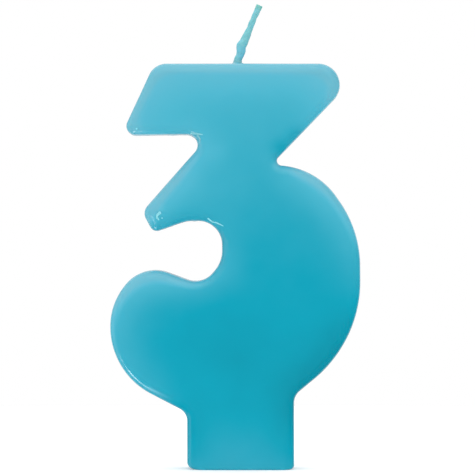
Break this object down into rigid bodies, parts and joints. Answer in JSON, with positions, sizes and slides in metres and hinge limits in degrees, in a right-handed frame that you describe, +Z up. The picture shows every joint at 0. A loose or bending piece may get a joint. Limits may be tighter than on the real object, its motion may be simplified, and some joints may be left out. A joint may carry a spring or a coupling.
{
  "type": "number birthday candle",
  "caption": "Numeral-shaped wax cake candle on a flat stub foot, with a coloured dipped wax coat over a pale wax core and a bendable waxed cotton wick.",
  "frame": {"origin": "middle of the foot's flat underside, on the wick's axis", "axes": "+Z up through the numeral to the wick, +X to the numeral's right as it is read, +Y from the front face to the back face"},
  "size_m": [0.0443, 0.011, 0.0825],
  "materials": {
    "core_wax": "matt cut paraffin wax",
    "colour_wax": "glossy turquoise dipped wax",
    "wick_cotton": "plaited cotton soaked in wax",
    "wick_wax": "thin lumpy turquoise wax over cotton"
  },
  "bodies": {
    "candle": {"wax_core": "core_wax", "colour_coat": "colour_wax", "wick_in_core": "wick_cotton"},
    "wick_lower": {"wick_root": "wick_cotton", "wick_root_wax": "wick_wax"},
    "wick_upper": {"wick_tip": "wick_cotton", "wick_tip_wax": "wick_wax"}
  },
  "joints": [
    {"name": "wick_side_bend", "type": "hinge", "parent": "candle", "child": "wick_lower", "pos_m": [0, 0, 0.0729], "axis": [0, 1, 0], "range_deg": [-50, 35]},
    {"name": "wick_front_bend", "type": "hinge", "parent": "wick_lower", "child": "wick_upper", "pos_m": [0.00031, 0, 0.07508], "axis": [1, 0, 0], "range_deg": [-45, 45]}
  ]
}
